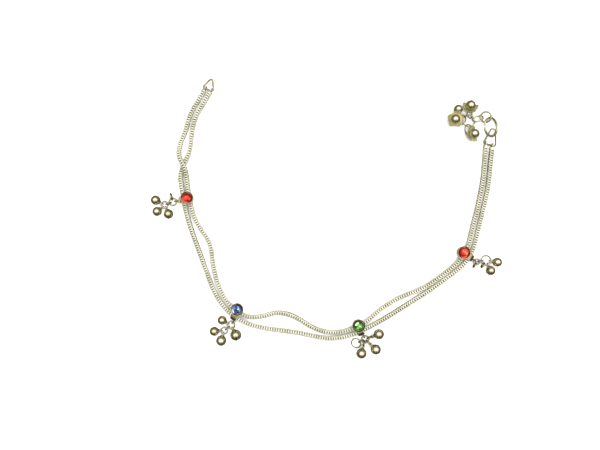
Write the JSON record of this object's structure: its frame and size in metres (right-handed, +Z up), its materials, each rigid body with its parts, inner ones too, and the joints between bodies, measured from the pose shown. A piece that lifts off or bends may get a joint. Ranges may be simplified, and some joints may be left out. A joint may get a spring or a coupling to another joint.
{
  "type": "payal anklet",
  "caption": "Open payal anklet: two snake-chain strands, faceted stones in round cups, clusters of small round bells, flower bells at the clasp ring.",
  "frame": {"origin": "centre of the anklet's box on the table that it lies on", "axes": "+Z up from the table, +X toward the clasp side of the open C, +Y toward the C's open end"},
  "size_m": [0.1428, 0.1143, 0.0066],
  "materials": {
    "chain": "fine ribbed silver, slightly aged",
    "setting": "polished silver",
    "bell": "polished silver",
    "wire": "polished silver wire",
    "red_stone": "faceted, foil backed",
    "blue_stone": "faceted, foil backed",
    "green_stone": "faceted, foil backed"
  },
  "bodies": {
    "root": {"blue_bell_1": "bell", "blue_bell_2": "bell", "blue_bell_3": "bell", "blue_bell_4": "bell", "blue_connector": "wire", "blue_hub": "wire", "blue_outer_ring": "wire", "chain_inner": "chain", "chain_outer": "chain", "clasp_bell_1": "bell", "clasp_bell_ring_a": "wire", "clasp_bell_ring_b": "wire", "clasp_bell_ring_c": "wire", "clasp_connector": "wire", "clasp_hub": "wire", "clasp_jump_ring": "wire", "clasp_link": "wire", "clasp_ring": "wire", "flower_bell_a": "bell", "flower_bell_b": "bell", "flower_bell_c": "bell", "green_bell_1": "bell", "green_bell_2": "bell", "green_bell_3": "bell", "green_bell_ring_1": "wire", "green_bell_ring_2": "wire", "green_bell_ring_3": "wire", "green_connector": "wire", "green_hub": "wire", "green_side_ring": "wire", "plain_end_link": "wire", "red_left_bell_1": "bell", "red_left_bell_2": "bell", "red_left_bell_3": "bell", "red_left_connector": "wire", "red_left_hub": "wire", "red_left_outer_ring": "wire", "red_left_side_ring": "wire", "red_right_bell_1": "bell", "red_right_bell_2": "bell", "red_right_connector": "wire", "red_right_end_ring": "wire", "red_right_hub": "wire", "red_right_outer_ring": "wire", "red_right_side_ring": "wire", "setting_blue": "setting", "setting_green": "setting", "setting_red_left": "setting", "setting_red_right": "setting", "stone_blue": "blue_stone", "stone_green": "green_stone", "stone_red_left": "red_stone", "stone_red_right": "red_stone"}
  },
  "joints": []
}
